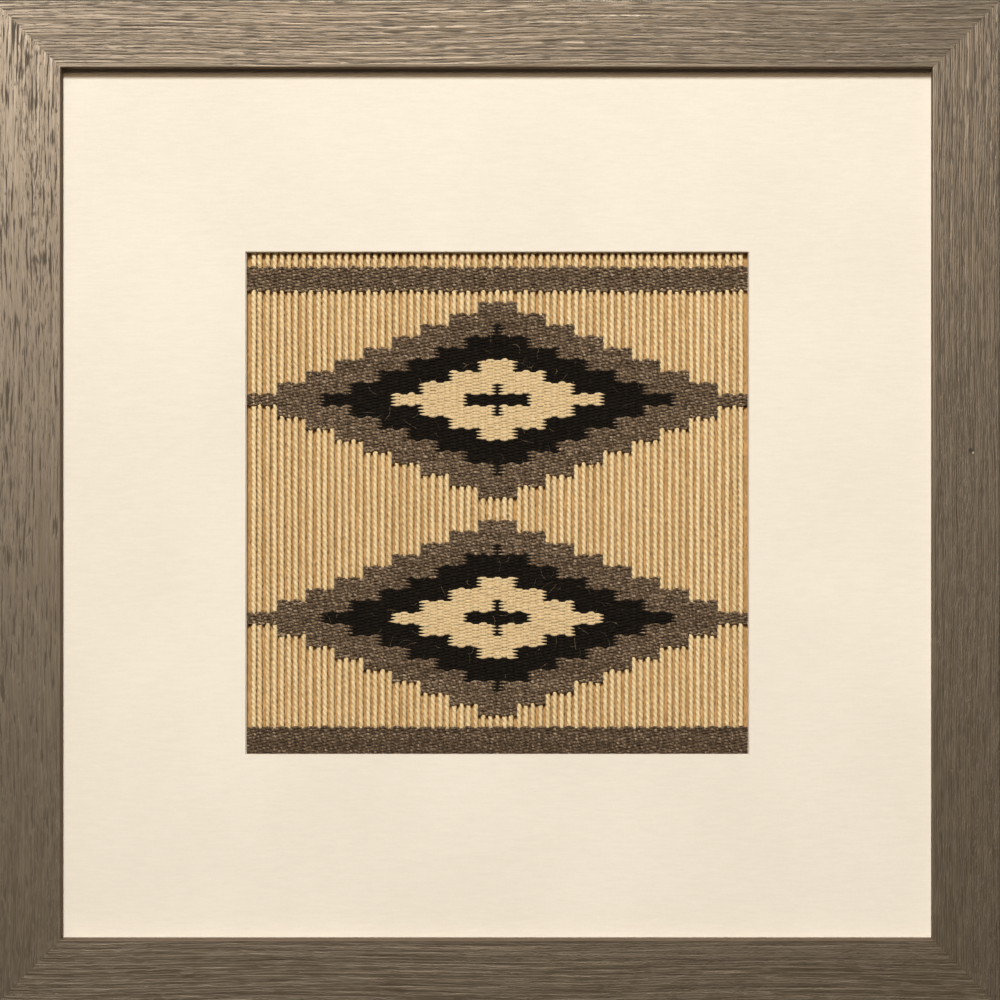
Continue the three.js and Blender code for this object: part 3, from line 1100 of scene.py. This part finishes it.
def body_piece():
    """A flat slab with a cell for each warp and row. A corner has the darkest colour of its cells."""
    edges, colours = woven_rows()
    mask = colours != BARE
    across = np.linspace(-WARPS / 2, WARPS / 2, WARPS + 1) * PITCH * BODY_SHRINK
    faces = slab_faces(mask)
    flat = np.stack(np.broadcast_arrays(across, 0, edges[:, None]), axis=-1).reshape(-1, 3)
    sides = [flat + (0, MID_Y + sign * BODY_THICKNESS / 2, 0) for sign in (-1, 1)]
    points = np.concatenate(sides)
    used, faces = np.unique(faces, return_inverse=True)
    faces = faces.reshape(-1, 4)
    points = points[used]
    shade = np.pad(SHADE[colours], 1, constant_values=SHADE[BARE])
    cells = [shade[1:, 1:], shade[1:, :-1], shade[:-1, 1:], shade[:-1, :-1]]
    wool = BODY_COLOURS[np.minimum(np.minimum.reduce(cells), SHADE[CREAM])]
    values = {"wool": np.tile(wool.reshape(-1, 3), (2, 1))[used]}
    area = np.sum(mask * np.diff(edges)[:, None]) * (across[1] - across[0])
    piece = add_piece("cloth_body", points, [faces], body_finish(), values, smooth=False)
    return piece, float(area)


cloth_body, woven_area = body_piece()
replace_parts(cloth_body, "weaving")

# %% [markdown]
# ## Camera
#
# The picture is seen straight on from about a metre, so that the sight edge of the frame shows only
# a sliver of its inner wall. The camera stands a small step to the right, which shows that sliver at
# the left but not at the right, and its shift brings the picture back to the middle. Its distance and
# lens follow from where the sight edge lies in the 1000 by 1000 image.

# %% Camera
SIGHT_PIXELS = 872.2
SIGHT_CENTRE = (496.8, 503.5)
IMAGE = 1000
SENSOR = 36
CAMERA_DISTANCE = 1.15
TO_THE_RIGHT = 0.03
sight = OUTER - 2 * RAIL_FACE
pixel = sight / SIGHT_PIXELS
eye = (
    (IMAGE / 2 - SIGHT_CENTRE[0]) * pixel + TO_THE_RIGHT,
    FRONT - CAMERA_DISTANCE,
    CENTRE_Z + (SIGHT_CENTRE[1] - IMAGE / 2) * pixel,
)
camera_data = bpy.data.cameras.new("camera")
camera_data.sensor_width = SENSOR
camera_data.lens = SENSOR * CAMERA_DISTANCE / (IMAGE * pixel)
camera_data.shift_x = -TO_THE_RIGHT / (IMAGE * pixel)
camera = placed("camera", camera_data)
camera.location = eye
camera.rotation_euler = (math.pi / 2, 0, 0)
bpy.context.scene.camera = camera
print(f"camera {CAMERA_DISTANCE:.2f} m away, lens {camera_data.lens:.1f} mm")

# %% [markdown]
# ## Floor and backdrop
#
# The frame stands on a plain pale floor, inside a round backdrop that curves up out of it, so that
# the rails stand out from every side. A white room would also light the rails and wash out their
# grain. So both are hidden from the light that reaches the object, and only the camera sees them.

# %% Floor
FLOOR_HALF = 3.0
FLOOR_GAP = 0.5 * MM
FLOOR_COLOURS = [(0.3, (0.62, 0.60, 0.57)), (0.7, (0.66, 0.64, 0.61))]


def floor_finish():
    """Pale grey with a slow, faint cloudiness."""
    finish = Finish("pale_floor")
    grain = finish.noise(own_place(finish), 6)
    colour = finish.ramp(grain, FLOOR_COLOURS)
    return finish.done(Base_Color=colour, Roughness=0.8)


def stage_piece(name, mesh):
    """A stage object from a mesh, which neither lights the picture nor shows in its gloss."""
    piece = placed(name, mesh)
    piece.visible_diffuse = False
    piece.visible_glossy = False
    piece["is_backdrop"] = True
    return piece


floor_z = cad_low[2] - FLOOR_GAP
corners = np.array([(-1, -1), (1, -1), (1, 1), (-1, 1)]) * FLOOR_HALF
floor_mesh = bpy.data.meshes.new("floor")
floor_mesh.from_pydata([(x, y, floor_z) for x, y in corners], [], [(0, 1, 2, 3)])
floor_mesh.materials.append(floor_finish())
floor = stage_piece("floor", floor_mesh)
print(f"floor {2 * FLOOR_HALF:.0f} m wide, {FLOOR_GAP / MM:.1f} mm under the frame")

# %% Backdrop
ROOM = 2.9
COVE = 0.8
WALL_HEIGHT = 3.2
ROOM_SIDES = 64
COVE_STEPS = 13
BACKDROP_GLOW = 0.7


def backdrop_finish():
    """The floor's colours, with a glow that grows from nothing at the floor to its full strength."""
    finish = Finish("pale_backdrop")
    place = own_place(finish)
    cloud = finish.noise(place, 1.5)
    colour = finish.ramp(cloud, FLOOR_COLOURS)
    climb = ((finish.part(place, 2) - floor_z) * (1 / COVE)).at_most(1)
    glow = finish.mix(climb, (0.0, 0.0, 0.0), colour)
    return finish.done(
        Base_Color=colour, Roughness=0.8, Emission_Color=glow, Emission_Strength=BACKDROP_GLOW)


def backdrop_mesh():
    """A profile turned about the upright axis: a quarter circle up from the floor, then a straight
    wall, with a flat ceiling."""
    climb = np.radians(np.linspace(0, 90, COVE_STEPS))
    radius = np.append(ROOM - COVE * (1 - np.sin(climb)), ROOM)
    height = np.append(COVE * (1 - np.cos(climb)), WALL_HEIGHT)
    angle = ring_angles(ROOM_SIDES)
    x, y = radius[:, None] * np.cos(angle), radius[:, None] * np.sin(angle)
    points = np.stack(np.broadcast_arrays(x, y, floor_z + height[:, None]), axis=-1).reshape(-1, 3)
    quads, caps = grid_faces(len(radius), ROOM_SIDES)
    mesh = bpy.data.meshes.new("backdrop")
    mesh.from_pydata(points.tolist(), [], [*quads.tolist(), caps[1].tolist()])
    mesh.polygons.foreach_set("use_smooth", np.arange(len(quads) + 1) < len(quads))
    mesh.materials.append(backdrop_finish())
    return mesh


backdrop = stage_piece("backdrop", backdrop_mesh())
backdrop.visible_shadow = False
print(f"backdrop {2 * ROOM:.1f} m across, {WALL_HEIGHT:.1f} m high")

# %% [markdown]
# ## Light
#
# The key lamp hangs in front and above, a little to the left. It lights the card evenly and casts a
# short shadow under the top rail. A weak warm fill under it softens that shadow. The sheen lamp stands
# at the left and adds gloss alone, which shows most on the foil of the top and left rails. Three weak
# lamps behind and beside the picture serve the other views.

# %% Lamps
SOFT_WHITE = (1.0, 0.97, 0.92)
LAMPS = [
    # name, place from the picture's centre and size in metres, power in watts, colour
    ("key", (-0.06, -2.76, 1.68), 0.50, 98.5, (1.0, 0.995, 0.955)),
    ("fill", (-0.20, -2.25, 0.80), 0.62, 14, (1.0, 0.70, 0.42)),
    ("sheen", (-1.28, -2.20, 1.00), 0.9, 86, SOFT_WHITE),
    ("back", (0.6, 1.8, 0.9), 1.0, 20, SOFT_WHITE),
    ("right", (1.8, 0.9, 0.6), 0.8, 18, SOFT_WHITE),
    ("left", (-1.8, 0.9, 0.6), 0.8, 18, SOFT_WHITE),
]
ROOM_COLOUR = (1.0, 0.82, 0.64, 1.0)
ROOM_STRENGTH = 0.04


def lamp(name, place, size, power, colour):
    """A square soft lamp at a place relative to the picture's centre, turned towards it."""
    data = bpy.data.lights.new(name, "AREA")
    data.size = size
    data.energy = power
    data.color = colour
    lamp_object = placed(name, data)
    lamp_object.location = Vector((0, 0, CENTRE_Z)) + Vector(place)
    lamp_object.rotation_euler = (-Vector(place)).to_track_quat("-Z", "Y").to_euler()
    return lamp_object


lamps = {row[0]: lamp(*row) for row in LAMPS}
lamps["sheen"].visible_diffuse = False
world = bpy.data.worlds.new("room")
world.use_nodes = True
background = world.node_tree.nodes["Background"]
background.inputs["Color"].default_value = ROOM_COLOUR
background.inputs["Strength"].default_value = ROOM_STRENGTH
bpy.context.scene.world = world
bpy.context.scene.view_settings.view_transform = "Standard"
print("lamps:", ", ".join(lamps))

# %% [markdown]
# ## Size
#
# The dressed picture keeps within the solid's box, apart from the height of its grain. The last line
# prints how far it reaches beyond that box, in millimetres.

# %% Print the sizes beyond the solids
visual_box = [list(corner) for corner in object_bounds()]
beyond = (np.array(visual_box) - np.array(cad_box)) / MM
print("size beyond the solids, mm:", np.round(beyond, 2).tolist())
